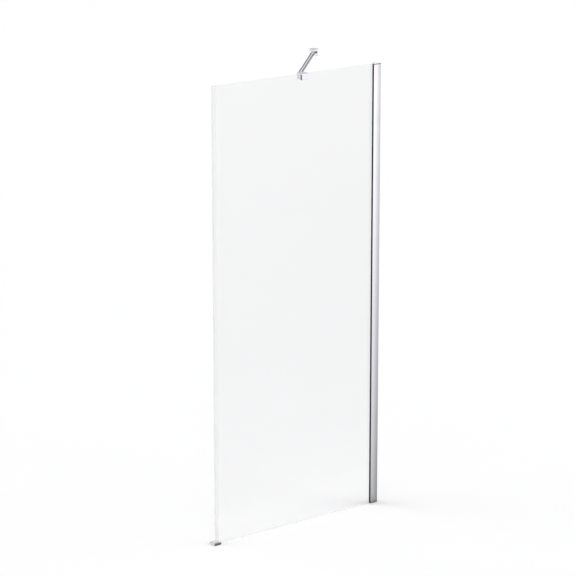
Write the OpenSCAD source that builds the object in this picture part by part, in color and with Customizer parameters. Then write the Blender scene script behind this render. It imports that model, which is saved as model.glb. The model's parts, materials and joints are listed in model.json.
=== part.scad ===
// A fixed glass shower screen. One pane stands square to the wall: a wall profile holds
// its edge, a small foot holds its free lower corner, and a square arm runs at an angle
// from a clamp on its top edge back to a bracket on the wall.
// Millimetres. X = 0 is the face of the wall, and the screen stands out along -X.
// Y = 0 is the middle of the glass, and the arm leaves on the +Y side. Z = 0 is the floor.

/* [Screen] */
// Width from the wall to the outer edge of the seal on the free edge
screen_w = 893; // [760:1:1200]
// Height of the upper edge of the glass above the floor
screen_h = 2000; // [1800:5:2200]
// Thickness of the glass
glass_t = 6; // [5:0.5:8]
// Height of the glass above the floor, filled by the strip below it
glass_lift = 3; // [2:0.5:6]

/* [Wall profile] */
// How far the front flange of the wall profile reaches out from the wall
channel_w = 38; // [34:1:50]
// Thickness of the pad that keeps the wall profile off the floor
channel_lift = 5; // [3:0.5:10]
// Distance from the middle of the glass to the inside of the front flange
front_room = 12; // [11:0.5:16]
// Distance from the middle of the glass to the inside of the rear flange
rear_room = 8.5; // [8:0.5:12]
// Thickness of the web against the wall
web_t = 2; // [1.5:0.1:3]
// Thickness of both flanges at their edges
flange_t = 1.5; // [1.2:0.1:2.5]
// How far the front face and the cover bulge at their middle
crown = 1.2; // [0.6:0.1:2.4]
// Diameter of the holes for the wall screws
fixing_hole_d = 5.5; // [4:0.5:7]
// Distance from the first and last wall screw to the ends of the profile
fixing_end = 100; // [60:5:200]
// Depth that is kept free behind the sliding profile for the heads of the wall screws
head_room = 3.5; // [3:0.5:6]

/* [Width adjustment] */
// How far the glass can still slide towards the wall
slide_in = 5; // [3:0.5:6]
// How far the glass can still slide away from the wall
slide_out = 5; // [3:0.5:6]
// Running gap between the sliding profile and the flanges
slide_gap = 0.3; // [0.2:0.05:0.5]
// Outer wall of the hollow chamber in the sliding profile
slider_wall = 1.4; // [1:0.1:2]
// Web at the back of the sliding profile
slider_web = 1.5; // [1:0.1:2.5]
// Thickness of the rubber between the glass and the sliding profile
glazing_t = 1.5; // [1:0.1:2]
// Thread diameter of the screws that lock the width
lock_screw_d = 4; // [3:0.5:5]
// Distance from the first and last lock screw to the ends of the profile
lock_end = 250; // [150:10:400]
// Diameter of the heads of the lock screws
lock_head_d = 7; // [6:0.5:8]
// Height of the heads of the lock screws
lock_head_h = 2.1; // [1.8:0.1:2.2]

/* [Profile trim] */
// Wall of the cover that snaps over the rear flange
cover_t = 1.2; // [0.8:0.1:1.6]
// Width of the rails that the cover snaps over
rail_t = 1; // [0.8:0.1:1.6]
// Height of the rails
rail_h = 2; // [1.5:0.1:2.5]
// Thickness of the gasket over the end of the front flange
gasket_lip = 1; // [0.8:0.1:2]
// How deep the gasket sits behind the front flange
gasket_depth = 3.5; // [2.5:0.5:5]
// Gap between the gasket and the glass that slides past it
gasket_gap = 0.3; // [0.2:0.05:0.5]
// Depth and half width of the two grooves along the face of the gasket
gasket_groove = 0.5; // [0.3:0.1:0.7]
// Height of the cap on the upper end of the profile
cap_t = 4; // [3:0.5:5]
// How far the cap stands above the glass
cap_over = 1.5; // [1:0.5:3]
// Length of the tongues that plug the cap and the pad into the profile
cap_tongue = 10; // [6:1:20]
// Gap round these tongues
cap_gap = 0.1; // [0.05:0.05:0.2]

/* [Seals] */
// How far the legs of the edge seal reach over the glass
seal_leg = 15; // [10:1:22]
// Thickness of the legs of the edge seal
seal_t = 1.5; // [1:0.1:2.5]
// Wall of the hollow bulb along the edge seal
bulb_wall = 1; // [0.8:0.1:1.4]
// Thickness of the legs of the strip below the glass
strip_t = 1; // [0.8:0.1:1.5]
// Height of those legs above the lower edge of the glass
strip_leg = 5; // [3:0.5:8]

/* [Foot] */
// Length of the foot along the glass
foot_w = 35; // [32:1:50]
// How far the foot stands out past the edge seal
foot_reach = 11; // [8:0.5:12]
// Distance from the middle of the glass to the front of the foot
foot_front = 14; // [12:0.5:20]
// Distance from the middle of the glass to the rear of the foot
foot_rear = 22; // [20:0.5:30]
// Height of the foot
foot_h = 10; // [9:0.5:16]
// Bevel along the upper edges of the foot
foot_bevel = 1.2; // [0.6:0.1:2]
// Thickness of the liner beside the glass
liner_t = 1.2; // [0.8:0.1:1.8]
// Thickness of the liner under the glass
liner_floor = 1; // [0.5:0.1:1.2]
// Diameter of the hole for the floor screw
foot_hole_d = 4.5; // [3.5:0.5:5.5]
// Distance from the outer end of the foot to that hole
foot_hole_in = 10; // [9:0.5:12]
// Distance from the rear of the foot to that hole
foot_hole_rear = 8.5; // [7:0.5:10]

/* [Clamp] */
// Distance from the wall to the middle of the clamp and its pivot
clamp_x = 417; // [300:1:560]
// Length of the clamp along the glass
clamp_w = 34; // [28:1:40]
// Thickness of the rear jaw, which holds the set screws
clamp_jaw = 10.5; // [9:0.5:12]
// Thickness of the front jaw
clamp_front = 1.5; // [1.5:0.5:4]
// Thickness of the insert on each side of the glass
insert_t = 4; // [3:0.5:5]
// Thickness of the pad between the insert and the front jaw
pad_t = 9; // [6:0.5:12]
// How far the top of that pad stays below the top of the glass
pad_drop = 2; // [0.5:0.5:4]
// How far the jaws reach down over the glass
clamp_grip = 24; // [22:0.5:32]
// Thickness of the metal above the insert
clamp_roof = 3; // [2:0.5:6]
// Thickness of the insert above the glass
insert_roof = 1; // [0.5:0.25:2]
// Thickness of the steel plate that the set screws press
plate_t = 1.5; // [1:0.1:2]
// Margin between the plate and the edges of the jaw
plate_margin = 2; // [1:0.5:3]
// Bevel along the edges of the clamp and the wall bracket
block_bevel = 0.8; // [0.4:0.1:1.2]

/* [Arm] */
// Angle between the arm and the glass, seen from above
arm_angle = 45.4; // [38:0.1:55]
// Distance from the top of the glass down to the middle of the arm
arm_drop = 12; // [11:0.5:14]
// Width and height of the square arm
arm_w = 15; // [12:0.5:16]
// Wall of the arm
arm_wall = 1.4; // [1:0.1:2]
// How far the end pieces reach into the arm
plug_len = 20; // [15:1:40]
// Gap all round the end pieces inside the arm
plug_gap = 0.1; // [0.05:0.05:0.2]
// Thickness of the shoulder that closes each end of the arm
shoulder_t = 1.5; // [1:0.1:3]
// Thickness of the tongue at each end of the arm
tongue_t = 6; // [5:0.5:7]

/* [Pivots] */
// Diameter of the pivot screws
pivot_d = 5; // [4:0.5:6]
// Running gap round the pivot screws in the tongues
pivot_gap = 0.05; // [0.02:0.01:0.1]
// Gap round each screw in its thread
thread_gap = 0.05; // [0.02:0.01:0.1]
// Diameter of the countersunk heads of the pivot screws
pivot_head_d = 9; // [8:0.5:10]
// Thickness of the washers on both sides of each tongue
washer_t = 0.8; // [0.5:0.1:1.2]
// Diameter of the washers
washer_d = 11; // [10:0.5:12]
// Running gap between a washer and the metal next to it
swivel_gap = 0.3; // [0.2:0.05:0.5]
// Thickness of the ears on the clamp
ear_t = 6; // [5:0.5:7]
// Radius of the ears on the clamp
ear_r = 8.5; // [8.5:0.5:10]
// Metal that closes the far end of each pivot thread
pivot_cover = 1.2; // [1:0.1:2]

/* [Wall bracket] */
// Width of the wall bracket along the wall
bracket_w = 28; // [26:1:36]
// How far the wall bracket stands out from the wall
bracket_d = 29; // [28:1:36]
// Height of the wall bracket
bracket_h = 30; // [30:1:40]
// Thickness of the plate that is screwed to the wall
base_t = 4; // [3.5:0.5:5]
// Rim of the bracket round that plate
base_rim = 3; // [2:0.5:4]
// Gap between the plate and the rim
base_gap = 0.1; // [0.05:0.05:0.3]
// Distance between the two screw holes of the plate
base_pitch = 18; // [17:0.5:20]
// Diameter of these holes
base_hole_d = 4.5; // [4:0.5:5]
// Depth of the recesses behind these holes
base_relief = 5; // [3:0.5:6]

/* [Set screws] */
// Thread diameter of the set screws in the clamp and the foot
set_screw_d = 4; // [3:0.5:4]
// Length of the set screws in the clamp
clamp_set_len = 8; // [6:0.5:9]
// Length of the set screw in the foot
foot_set_len = 8; // [6:0.5:12]
// Distance from the ends of the clamp to its set screws
clamp_set_in = 3.5; // [3.5:0.25:4]
// Thread diameter of the small set screws in the arm and the bracket
small_set_d = 3; // [2.5:0.5:3]
// Length of the small set screws
small_set_len = 3; // [2.5:0.5:4]
// Hexagon socket in the set screws, as a share of their diameter
socket_share = 0.5; // [0.4:0.05:0.55]

/* [Hidden] */
$fn = 48;
// Overshoot of cuts that go right through
cut = 1;

// Wall profile
face_edge = front_room + flange_t;
rear_face = rear_room + flange_t;
profile_top = screen_h + cap_over - cap_t;
profile_h = profile_top - channel_lift;
fixing_z = [for (i = [0 : 3]) fixing_end + i * (screen_h - 2 * fixing_end) / 3];

// Sliding profile, worked out from what the wall profile leaves free
slider_spare = 1;
slider_w = channel_w - web_t - head_room - slide_in - slide_out - gasket_depth - slider_spare;
slider_back = -(web_t + head_room + slide_in);
slider_front = slider_back - slider_w;
end_gap = 0.5;
// How far both end pieces stand back over the gasket
lip_step = 0.5;
slider_low = channel_lift + end_gap;
slider_h = profile_h - 2 * end_gap;
slot_half = glass_t / 2 + glazing_t;
glass_wall_x = slider_back - slider_web - glazing_t;
lock_x = slider_back - slider_web - lock_screw_d / 2;
lock_z = [for (i = [0 : 2]) lock_end + i * (screen_h - 2 * lock_end) / 2];
lock_slot_r = lock_screw_d / 2 + slide_gap;
// Room for the glass in the gasket and in both end pieces
glass_room = glass_t / 2 + gasket_gap;
room_x = glass_wall_x + slide_in + slide_gap;
// The rear flange is just wide enough for the travel of the lock screws
rear_w = slide_out + lock_head_d / 2 + slide_gap + rail_t + cover_t - lock_x;

// Edge seal: the bulb is a half round as wide as the seal
seal_half = glass_t / 2 + seal_t;
glass_free_x = -screen_w + seal_half + bulb_wall / 2;
seal_top = screen_h;

// Foot
foot_x = -screen_w - foot_reach;
foot_slot_half = glass_t / 2 + liner_t;
foot_hole_x = foot_x + foot_hole_in;
foot_hole_y = foot_rear - foot_hole_rear;
foot_set_x = (glass_free_x + foot_x + foot_w) / 2;
foot_set_z = (glass_lift + foot_h) / 2;
foot_head_d = 2 * foot_hole_d;

// Clamp
insert_rear = glass_t / 2 + insert_t;
clamp_rear = insert_rear + clamp_jaw;
pad_front = insert_rear + pad_t;
clamp_face = pad_front + clamp_front;
clamp_low = screen_h - clamp_grip;
clamp_high = screen_h + insert_roof + clamp_roof;
arm_z = screen_h - arm_drop;
pivot_y = clamp_rear + ear_r;

// Pivots: the tongue, its washers and the gaps fill the slot between two ears
tongue_r = arm_w / 2;
swivel_half = tongue_t / 2 + washer_t + swivel_gap;
ear_out = swivel_half + ear_t;

// Arm, drawn along +X from the pivot on the clamp and then turned
arm_run = clamp_x - bracket_d / 2;
arm_len = arm_run / cos(arm_angle);
clamp_end_gap = ear_r + 1.5;
corner_r = sqrt(bracket_d * bracket_d + bracket_w * bracket_w) / 2;
wall_end_gap = corner_r + 0.5;
tube_start = clamp_end_gap + shoulder_t;
tube_end = arm_len - wall_end_gap - shoulder_t;
plug_w = arm_w - 2 * arm_wall - 2 * plug_gap;
arm_screw_in = plug_len / 2;

// Wall bracket
bracket_y = pivot_y + arm_run * tan(arm_angle);
bracket_pivot_x = -bracket_d / 2;
bracket_slot_x = bracket_pivot_x + tongue_r + 0.5;
bracket_set_x = -base_t / 2 - 0.2;

// A countersunk screw along +Z with its flat head at the origin
module countersunk(d, head_d, length) {
    rotate_extrude()
        polygon([[0, 0], [head_d / 2, 0], [d / 2, (head_d - d) / 2], [d / 2, length], [0, length]]);
}

// A set screw along +Z from the origin with a hexagon socket in its upper end
module set_screw(d, length) {
    difference() {
        cylinder(d = d, h = length);
        translate([0, 0, length - d / 2])
            cylinder(d = d * socket_share * 2 / sqrt(3), h = d / 2 + cut, $fn = 6);
    }
}

// A round hole along +Z from the origin
module hole(d, length) {
    cylinder(d = d, h = length);
}

// The radius of an arc that bulges by the crown over a width
function crown_r(width) = (width * width / 4 + crown * crown) / (2 * crown);

// The area between a flat line and a crowned outer line, from the wall to a width
module crowned(width, inner) {
    intersection() {
        translate([-width, inner])
            square([width, face_edge + crown - inner]);
        translate([-width / 2, face_edge + crown - crown_r(width)])
            circle(r = crown_r(width), $fn = 720);
    }
}

// A block with bevelled edges along Z and round its upper and lower faces
module bevelled_block(low, size, bevel) {
    module layer(inset, z, h) {
        translate([low.x, low.y, low.z + z])
            linear_extrude(height = h)
                polygon([
                    [bevel, inset], [size.x - bevel, inset],
                    [size.x - inset, bevel], [size.x - inset, size.y - bevel],
                    [size.x - bevel, size.y - inset], [bevel, size.y - inset],
                    [inset, size.y - bevel], [inset, bevel]
                ]);
    }
    difference() {
        layer(0, 0, size.z);
        for (side = [0, 1])
            translate([low.x + size.x / 2, low.y + size.y / 2, low.z + side * size.z])
                mirror([0, 0, side]) {
                    edge_cut(size.x, size.y / 2, bevel, 0);
                    edge_cut(size.x, size.y / 2, bevel, 180);
                    edge_cut(size.y, size.x / 2, bevel, 90);
                    edge_cut(size.y, size.x / 2, bevel, 270);
                }
    }
}

// The wedge that a bevel takes off a lower edge, at a distance from the middle
module edge_cut(length, distance, bevel, turn) {
    rotate([0, 0, turn])
        translate([-length / 2 - cut, distance, 0])
            rotate([0, 90, 0])
                linear_extrude(height = length + 2 * cut)
                    polygon([[cut, -bevel - cut], [cut, cut], [-bevel - cut, cut]]);
}

module wall_channel() {
    color([0.80, 0.81, 0.83])
        difference() {
            translate([0, 0, channel_lift])
                linear_extrude(height = profile_h) {
                    translate([-web_t, -face_edge])
                        square([web_t, face_edge + rear_face]);
                    mirror([0, 1])
                        crowned(channel_w, front_room);
                    translate([-rear_w, rear_room])
                        square([rear_w, flange_t]);
                    for (x = [-cover_t - rail_t, -rear_w + cover_t])
                        translate([x, rear_face])
                            square([rail_t, rail_h]);
                }
            for (z = fixing_z)
                translate([-web_t - cut, 0, z])
                    rotate([0, 90, 0])
                        hole(fixing_hole_d, web_t + 2 * cut);
            for (z = lock_z)
                translate([lock_x, rear_room - cut, z])
                    rotate([-90, 0, 0])
                        lock_slot(flange_t + 2 * cut);
        }
}

// The slot in the rear flange along which a lock screw travels
module lock_slot(length) {
    linear_extrude(height = length) {
        translate([-slide_out, -lock_slot_r])
            square([slide_out + slide_in, 2 * lock_slot_r]);
        translate([-slide_out, 0])
            circle(r = lock_slot_r);
        translate([slide_in, 0])
            circle(r = lock_slot_r);
    }
}

module channel_cover() {
    inner_w = rear_w - 2 * cover_t;
    color([0.80, 0.81, 0.83])
        translate([0, 0, channel_lift])
            linear_extrude(height = profile_h)
                difference() {
                    crowned(rear_w, rear_face);
                    translate([-cover_t - inner_w, rear_face - cut])
                        square([inner_w, face_edge - cover_t - rear_face + cut]);
                    intersection() {
                        translate([-cover_t - inner_w, rear_face])
                            square([inner_w, face_edge]);
                        translate([-rear_w / 2, face_edge + crown - crown_r(rear_w)])
                            circle(r = crown_r(rear_w) - cover_t, $fn = 720);
                    }
                }
}

module front_gasket() {
    color([0.16, 0.16, 0.17])
        translate([0, 0, channel_lift])
            linear_extrude(height = profile_h)
                difference() {
                    union() {
                        translate([-channel_w - gasket_lip, -face_edge])
                            square([gasket_lip, face_edge - glass_room]);
                        translate([-channel_w, -front_room])
                            square([gasket_depth, front_room - glass_room]);
                    }
                    for (y = [for (i = [1, 2]) glass_room + i * (face_edge - glass_room) / 3])
                        translate([-channel_w - gasket_lip, -y])
                            polygon([
                                [-cut, -gasket_groove], [0, -gasket_groove], [gasket_groove, 0],
                                [0, gasket_groove], [-cut, gasket_groove]
                            ]);
                }
}

// The outline of the profile's end, with a bridge behind the edge of the glass
module end_outline(bridge) {
    mirror([0, 1])
        crowned(channel_w, glass_room);
    crowned(rear_w, glass_room);
    translate([-bridge, -glass_room - cut])
        square([bridge, 2 * (glass_room + cut)]);
    translate([-channel_w - gasket_lip, -face_edge + lip_step])
        square([gasket_lip + cut, face_edge - lip_step - glass_room]);
}

// The two tongues that plug such a piece into the profile, downwards from Z = 0
module end_tongues() {
    tongue_x = -web_t - head_room + slide_gap;
    translate([tongue_x, -front_room + cap_gap, -cap_tongue])
        cube([-web_t - tongue_x, front_room + rear_room - 2 * cap_gap, cap_tongue + cut]);
    translate([-rear_w + cover_t + rail_t + cap_gap, rear_face, -cap_tongue])
        cube([rear_w - 2 * (cover_t + rail_t + cap_gap), rail_h, cap_tongue + cut]);
}

module top_cap() {
    roof_z = screen_h + slide_gap - profile_top;
    color([0.70, 0.71, 0.73])
        translate([0, 0, profile_top]) {
            linear_extrude(height = roof_z)
                end_outline(-room_x);
            translate([0, 0, roof_z])
                linear_extrude(height = cap_t - roof_z)
                    end_outline(rear_w);
            end_tongues();
        }
}

module bottom_pad() {
    color([0.92, 0.92, 0.92])
        translate([0, 0, channel_lift])
            mirror([0, 0, 1]) {
                linear_extrude(height = channel_lift)
                    end_outline(-room_x);
                end_tongues();
            }
}

module glass_panel() {
    color([0.80, 0.90, 0.88, 0.4])
        translate([glass_free_x, -glass_t / 2, glass_lift])
            cube([glass_wall_x - glass_free_x, glass_t, screen_h - glass_lift]);
}

module sliding_profile() {
    chamber_far = front_room - slide_gap - slider_wall;
    color([0.72, 0.73, 0.75])
        difference() {
            translate([0, 0, slider_low])
                linear_extrude(height = slider_h)
                    difference() {
                        translate([slider_front, -front_room + slide_gap])
                            square([slider_w, front_room + rear_room - 2 * slide_gap]);
                        translate([slider_front - cut, -slot_half])
                            square([slider_w - slider_web + cut, 2 * slot_half]);
                        translate([slider_front + slider_web, -chamber_far])
                            square([slider_w - 2 * slider_web, chamber_far - slot_half - slider_wall]);
                    }
            for (z = lock_z)
                translate([lock_x, slot_half - cut, z])
                    rotate([-90, 0, 0])
                        hole(lock_screw_d + 2 * thread_gap, rear_room);
        }
}

module glazing_strip() {
    color([0.20, 0.20, 0.21])
        translate([0, 0, slider_low])
            linear_extrude(height = slider_h)
                difference() {
                    translate([slider_front, -slot_half])
                        square([slider_w - slider_web, 2 * slot_half]);
                    translate([slider_front - cut, -glass_t / 2])
                        square([glass_wall_x - slider_front + cut, glass_t]);
                }
}

module lock_screws() {
    color([0.62, 0.62, 0.64])
        for (z = lock_z)
            translate([lock_x, slot_half, z])
                rotate([-90, 0, 0])
                    difference() {
                        union() {
                            cylinder(d = lock_screw_d, h = rear_face + slide_gap - slot_half);
                            translate([0, 0, rear_face + slide_gap - slot_half])
                                cylinder(d = lock_head_d, h = lock_head_h);
                        }
                        translate([0, 0, rear_face + slide_gap - slot_half + lock_head_h / 2])
                            for (turn = [0, 90])
                                rotate([0, 0, turn])
                                    translate([-lock_head_d / 4, -0.5, 0])
                                        cube([lock_head_d / 2, 1, lock_head_h]);
                    }
}

module edge_seal() {
    low = foot_h + 0.5;
    color([0.90, 0.91, 0.91, 0.8])
        translate([glass_free_x, 0, low])
            linear_extrude(height = seal_top - low)
                difference() {
                    union() {
                        translate([-bulb_wall / 2, -seal_half])
                            square([seal_leg + bulb_wall / 2, 2 * seal_half]);
                        translate([-bulb_wall / 2, 0])
                            circle(r = seal_half);
                    }
                    translate([0, -glass_t / 2])
                        square([seal_leg + cut, glass_t]);
                    difference() {
                        translate([-bulb_wall / 2, 0])
                            circle(r = seal_half - bulb_wall);
                        translate([-bulb_wall * 1.5, -seal_half])
                            square([seal_leg, 2 * seal_half]);
                    }
                }
}

module bottom_strip() {
    from = foot_x + foot_w + 0.5;
    to = -channel_w - gasket_lip - slide_in - 1;
    color([0.90, 0.91, 0.91, 0.7])
        translate([from, 0, 0])
            difference() {
                translate([0, -glass_t / 2 - strip_t, 0])
                    cube([to - from, glass_t + 2 * strip_t, glass_lift + strip_leg]);
                translate([-cut, -glass_t / 2, glass_lift])
                    cube([to - from + 2 * cut, glass_t, strip_leg + cut]);
            }
}

module foot_block() {
    slot_x = glass_free_x - liner_floor;
    color([0.78, 0.79, 0.81])
        difference() {
            translate([foot_x, -foot_front, 0])
                foot_blank();
            translate([slot_x, -foot_slot_half, glass_lift - liner_floor])
                cube([foot_x + foot_w - slot_x + cut, 2 * foot_slot_half, foot_h]);
            translate([foot_hole_x, foot_hole_y, -cut])
                hole(foot_hole_d, foot_h + 2 * cut);
            translate([foot_hole_x, foot_hole_y, foot_h])
                mirror([0, 0, 1])
                    countersunk(foot_hole_d, foot_head_d, foot_h / 2);
            translate([foot_set_x, foot_rear + cut, foot_set_z])
                rotate([90, 0, 0])
                    hole(set_screw_d + 2 * thread_gap, foot_rear - foot_slot_half + 2 * cut);
        }
}

// The foot before it is slotted and drilled, with bevels round its upper face
module foot_blank() {
    depth = foot_front + foot_rear;
    difference() {
        cube([foot_w, depth, foot_h]);
        translate([foot_w / 2, depth / 2, foot_h])
            mirror([0, 0, 1]) {
                edge_cut(foot_w, depth / 2, foot_bevel, 0);
                edge_cut(foot_w, depth / 2, foot_bevel, 180);
                edge_cut(depth, foot_w / 2, foot_bevel, 90);
                edge_cut(depth, foot_w / 2, foot_bevel, 270);
            }
    }
}

module foot_liner() {
    slot_x = glass_free_x - liner_floor;
    low = glass_lift - liner_floor;
    length = foot_x + foot_w - slot_x;
    color([0.30, 0.30, 0.31])
        difference() {
            translate([slot_x, -foot_slot_half, low])
                cube([length, 2 * foot_slot_half, foot_h - low]);
            translate([glass_free_x, -glass_t / 2, glass_lift])
                cube([length + cut, glass_t, foot_h]);
        }
}

module foot_set_screw() {
    color([0.45, 0.45, 0.47])
        translate([foot_set_x, foot_slot_half, foot_set_z])
            rotate([-90, 0, 0])
                set_screw(set_screw_d, foot_set_len);
}

module clamp_body() {
    set_x = clamp_w / 2 - clamp_set_in;
    color([0.78, 0.79, 0.81])
        translate([-clamp_x, 0, 0])
            difference() {
                union() {
                    bevelled_block(
                        [-clamp_w / 2, -clamp_face, clamp_low],
                        [clamp_w, clamp_face + clamp_rear, clamp_high - clamp_low],
                        block_bevel
                    );
                    for (side = [-1, 1])
                        translate([0, 0, arm_z + side * (swivel_half + ear_t / 2)])
                            clamp_ear();
                }
                insert_blank(cut);
                pad_blank(cut);
                for (x = [-set_x, set_x])
                    translate([x, clamp_rear + cut, arm_z])
                        rotate([90, 0, 0])
                            hole(set_screw_d + 2 * thread_gap, clamp_jaw + 2 * cut);
                translate([0, pivot_y, arm_z - ear_out])
                    pivot_hole(2 * ear_out - pivot_cover);
            }
}

// One ear behind the clamp, centred on its own thickness
module clamp_ear() {
    translate([0, 0, -ear_t / 2])
        linear_extrude(height = ear_t) {
            translate([-ear_r, clamp_rear - block_bevel])
                square([2 * ear_r, pivot_y - clamp_rear + block_bevel]);
            translate([0, pivot_y])
                circle(r = ear_r);
        }
}

// The hole that a pivot screw takes in a pair of ears, from its head upwards
module pivot_hole(length) {
    translate([0, 0, -cut])
        hole(pivot_d + 2 * thread_gap, length + cut);
    countersunk(pivot_d + 2 * thread_gap, pivot_head_d + 4 * thread_gap, pivot_head_d / 2);
    translate([0, 0, -cut])
        hole(pivot_head_d + 4 * thread_gap, cut);
}

// The room of the insert over the glass, drawn around the middle of the clamp
module insert_blank(over) {
    translate([-clamp_w / 2 - over, -insert_rear, clamp_low - over])
        cube([clamp_w + 2 * over, 2 * insert_rear, clamp_grip + insert_roof + over]);
}

// The room of the pad between the insert and the front jaw, drawn the same way
module pad_blank(over) {
    translate([-clamp_w / 2 - over, -pad_front, clamp_low - over])
        cube([clamp_w + 2 * over, pad_t + over, clamp_grip - pad_drop + over]);
}

module clamp_insert() {
    color([0.88, 0.88, 0.86])
        translate([-clamp_x, 0, 0])
            difference() {
                insert_blank(0);
                translate([-clamp_w / 2 - cut, -glass_t / 2, clamp_low - cut])
                    cube([clamp_w + 2 * cut, glass_t, clamp_grip + cut]);
                plate_block(cut);
            }
}

module clamp_pad() {
    color([0.16, 0.16, 0.17])
        translate([-clamp_x, 0, 0])
            pad_blank(0);
}

// The steel plate in the rear of the insert, drawn around the middle of the clamp
module plate_block(over) {
    translate([plate_margin - clamp_w / 2, insert_rear - plate_t, clamp_low + plate_margin])
        cube([clamp_w - 2 * plate_margin, plate_t + over, clamp_grip - 2 * plate_margin]);
}

module clamp_plate() {
    color([0.62, 0.62, 0.64])
        translate([-clamp_x, 0, 0])
            plate_block(0);
}

module clamp_set_screws() {
    set_x = clamp_w / 2 - clamp_set_in;
    color([0.45, 0.45, 0.47])
        for (x = [-set_x, set_x])
            translate([-clamp_x + x, insert_rear, arm_z])
                rotate([-90, 0, 0])
                    set_screw(set_screw_d, clamp_set_len);
}

// A pivot screw with its head in the lower ear and a hexagon socket in the head
module pivot_screw(length) {
    difference() {
        countersunk(pivot_d, pivot_head_d, length);
        translate([0, 0, -cut])
            cylinder(d = pivot_d * socket_share * 2 / sqrt(3), h = pivot_d / 2 + cut, $fn = 6);
    }
}

module clamp_pivot_screw() {
    color([0.62, 0.62, 0.64])
        translate([-clamp_x, pivot_y, arm_z - ear_out])
            pivot_screw(2 * ear_out - pivot_cover);
}

// Turns and moves what is drawn along +X from the pivot on the clamp
module on_arm() {
    translate([-clamp_x, pivot_y, arm_z])
        rotate([0, 0, arm_angle])
            children();
}

module arm_tube() {
    inner = arm_w - 2 * arm_wall;
    color([0.78, 0.79, 0.81])
        on_arm()
            difference() {
                translate([tube_start, -arm_w / 2, -arm_w / 2])
                    cube([tube_end - tube_start, arm_w, arm_w]);
                translate([tube_start - cut, -inner / 2, -inner / 2])
                    cube([tube_end - tube_start + 2 * cut, inner, inner]);
                for (x = [tube_start + arm_screw_in, tube_end - arm_screw_in])
                    translate([x, 0, -arm_w / 2 - cut])
                        hole(small_set_d + 2 * thread_gap, arm_w / 2);
            }
}

// An end piece with its pivot at the origin: tongue, shoulder and plug along +X
module arm_end(gap) {
    difference() {
        union() {
            translate([0, 0, -tongue_t / 2])
                cylinder(r = tongue_r, h = tongue_t);
            translate([0, -arm_w / 2, -tongue_t / 2])
                cube([gap, arm_w, tongue_t]);
            translate([gap, -arm_w / 2, -arm_w / 2])
                cube([shoulder_t, arm_w, arm_w]);
            translate([gap + shoulder_t, -plug_w / 2, -plug_w / 2])
                cube([plug_len, plug_w, plug_w]);
        }
        translate([0, 0, -tongue_t / 2 - cut])
            hole(pivot_d + 2 * pivot_gap, tongue_t + 2 * cut);
        translate([gap + shoulder_t + arm_screw_in, 0, -plug_w / 2 - cut])
            hole(small_set_d + 2 * thread_gap, plug_w / 2 + cut);
    }
}

module arm_clamp_end() {
    color([0.78, 0.79, 0.81])
        on_arm()
            arm_end(clamp_end_gap);
}

module arm_wall_end() {
    color([0.78, 0.79, 0.81])
        on_arm()
            translate([arm_len, 0, 0])
                rotate([0, 0, 180])
                    arm_end(wall_end_gap);
}

module arm_set_screws() {
    color([0.45, 0.45, 0.47])
        on_arm()
            for (x = [tube_start + arm_screw_in, tube_end - arm_screw_in])
                translate([x, 0, -arm_w / 2 + small_set_len + 0.2])
                    mirror([0, 0, 1])
                        set_screw(small_set_d, small_set_len);
}

// The pair of washers above and below one tongue
module washer_pair() {
    for (side = [-1, 1])
        translate([0, 0, side * (tongue_t + washer_t) / 2 - washer_t / 2])
            difference() {
                cylinder(d = washer_d, h = washer_t);
                translate([0, 0, -cut])
                    hole(pivot_d + 2 * pivot_gap, washer_t + 2 * cut);
            }
}

module clamp_washers() {
    color([0.88, 0.88, 0.86])
        on_arm()
            washer_pair();
}

module bracket_washers() {
    color([0.88, 0.88, 0.86])
        on_arm()
            translate([arm_len, 0, 0])
                washer_pair();
}

module bracket_body() {
    half = bracket_h / 2;
    color([0.78, 0.79, 0.81])
        translate([0, bracket_y, arm_z])
            difference() {
                bevelled_block(
                    [-bracket_d, -bracket_w / 2, -half],
                    [bracket_d, bracket_w, bracket_h],
                    block_bevel
                );
                translate([-bracket_d - cut, -bracket_w / 2 - cut, -swivel_half])
                    cube([bracket_d + bracket_slot_x + cut, bracket_w + 2 * cut, 2 * swivel_half]);
                translate([-base_t, -bracket_w / 2 + base_rim, -half + base_rim])
                    cube([base_t + cut, bracket_w - 2 * base_rim, bracket_h - 2 * base_rim]);
                for (side = [-1, 1])
                    translate([-base_t - base_relief, 0, side * base_pitch / 2])
                        rotate([0, 90, 0])
                            hole(2 * base_hole_d - 1, base_relief + cut);
                translate([bracket_pivot_x, 0, -half])
                    pivot_hole(bracket_h - 4 * pivot_cover);
                translate([bracket_set_x, 0, -half - cut])
                    hole(small_set_d + 2 * thread_gap, base_rim + 2 * cut);
            }
}

module bracket_base() {
    head_d = 1.8 * base_hole_d;
    half_w = bracket_w / 2 - base_rim - base_gap;
    half_h = bracket_h / 2 - base_rim - base_gap;
    color([0.62, 0.62, 0.64])
        translate([-base_t, bracket_y, arm_z])
            difference() {
                translate([0, -half_w, -half_h])
                    cube([base_t, 2 * half_w, 2 * half_h]);
                for (side = [-1, 1])
                    translate([0, 0, side * base_pitch / 2])
                        rotate([0, 90, 0]) {
                            translate([0, 0, -cut])
                                hole(base_hole_d, base_t + 2 * cut);
                            countersunk(base_hole_d, head_d, base_t / 2);
                        }
            }
}

module bracket_pivot_screw() {
    color([0.62, 0.62, 0.64])
        translate([bracket_pivot_x, bracket_y, arm_z - bracket_h / 2])
            pivot_screw(bracket_h - 4 * pivot_cover);
}

module bracket_set_screw() {
    color([0.45, 0.45, 0.47])
        translate([bracket_set_x, bracket_y, arm_z - bracket_h / 2 + base_rim + base_gap])
            mirror([0, 0, 1])
                set_screw(small_set_d, small_set_len);
}

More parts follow.
